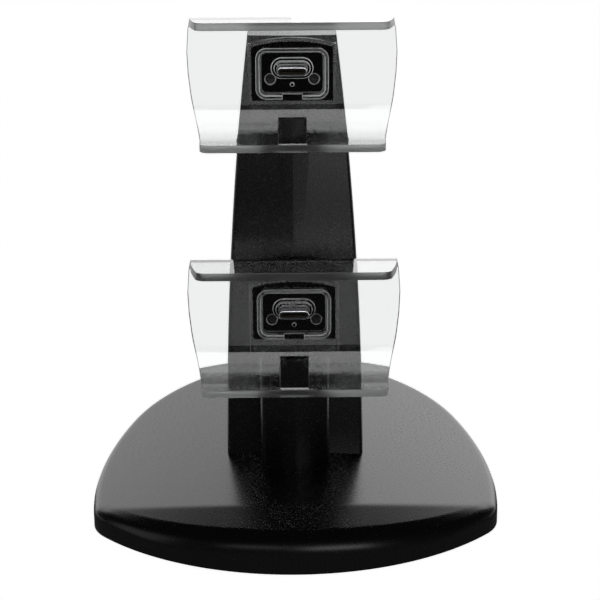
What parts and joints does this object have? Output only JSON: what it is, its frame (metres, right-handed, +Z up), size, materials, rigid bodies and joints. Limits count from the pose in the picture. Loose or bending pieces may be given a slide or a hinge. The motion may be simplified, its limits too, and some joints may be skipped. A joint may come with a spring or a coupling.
{
  "type": "controller charging dock",
  "caption": "Desktop charging dock: crowned black base, tapered column, and clear folded cradles, each with a charging plug for a game controller.",
  "frame": {"origin": "on the table, under the middle of the base's bounding box", "axes": "+Z up, -Y towards the user, +X to the user's right"},
  "size_m": [0.116, 0.128, 0.1395],
  "materials": {
    "black_housing": "satin moulded plastic with a fine grain",
    "clear_plastic": "clear, polished",
    "plug_metal": "plated, satin",
    "plug_insulator": "matte",
    "contact_metal": "gold plated",
    "steel": "plated",
    "foot_rubber": "matte",
    "circuit_board": "solder mask",
    "capacitor_can": "satin",
    "header_plastic": "matte",
    "lead_sleeve": "matte"
  },
  "bodies": {
    "root": {"base_shell": "black_housing", "base_bottom_plate": "black_housing", "base_screws": "steel", "rubber_feet": "foot_rubber", "column_front_shell": "black_housing", "column_rear_cover": "black_housing", "column_seam_screws": "steel", "column_foot_screws": "steel", "upper_cradle": "clear_plastic", "upper_plug_holder": "clear_plastic", "upper_holder_screws": "steel", "upper_plug_shell": "plug_metal", "upper_plug_core": "plug_insulator", "upper_plug_contacts": "contact_metal", "upper_plug_board": "circuit_board", "lower_cradle": "clear_plastic", "lower_plug_holder": "clear_plastic", "lower_holder_screws": "steel", "lower_plug_shell": "plug_metal", "lower_plug_core": "plug_insulator", "lower_plug_contacts": "contact_metal", "lower_plug_board": "circuit_board", "control_board": "circuit_board", "control_board_screws": "steel", "charge_chip": "plug_insulator", "board_capacitors": "capacitor_can", "lead_headers": "header_plastic", "inlet_socket_shell": "plug_metal", "inlet_socket_tongue": "plug_insulator", "upper_lead": "lead_sleeve", "lower_lead": "lead_sleeve"}
  },
  "joints": []
}
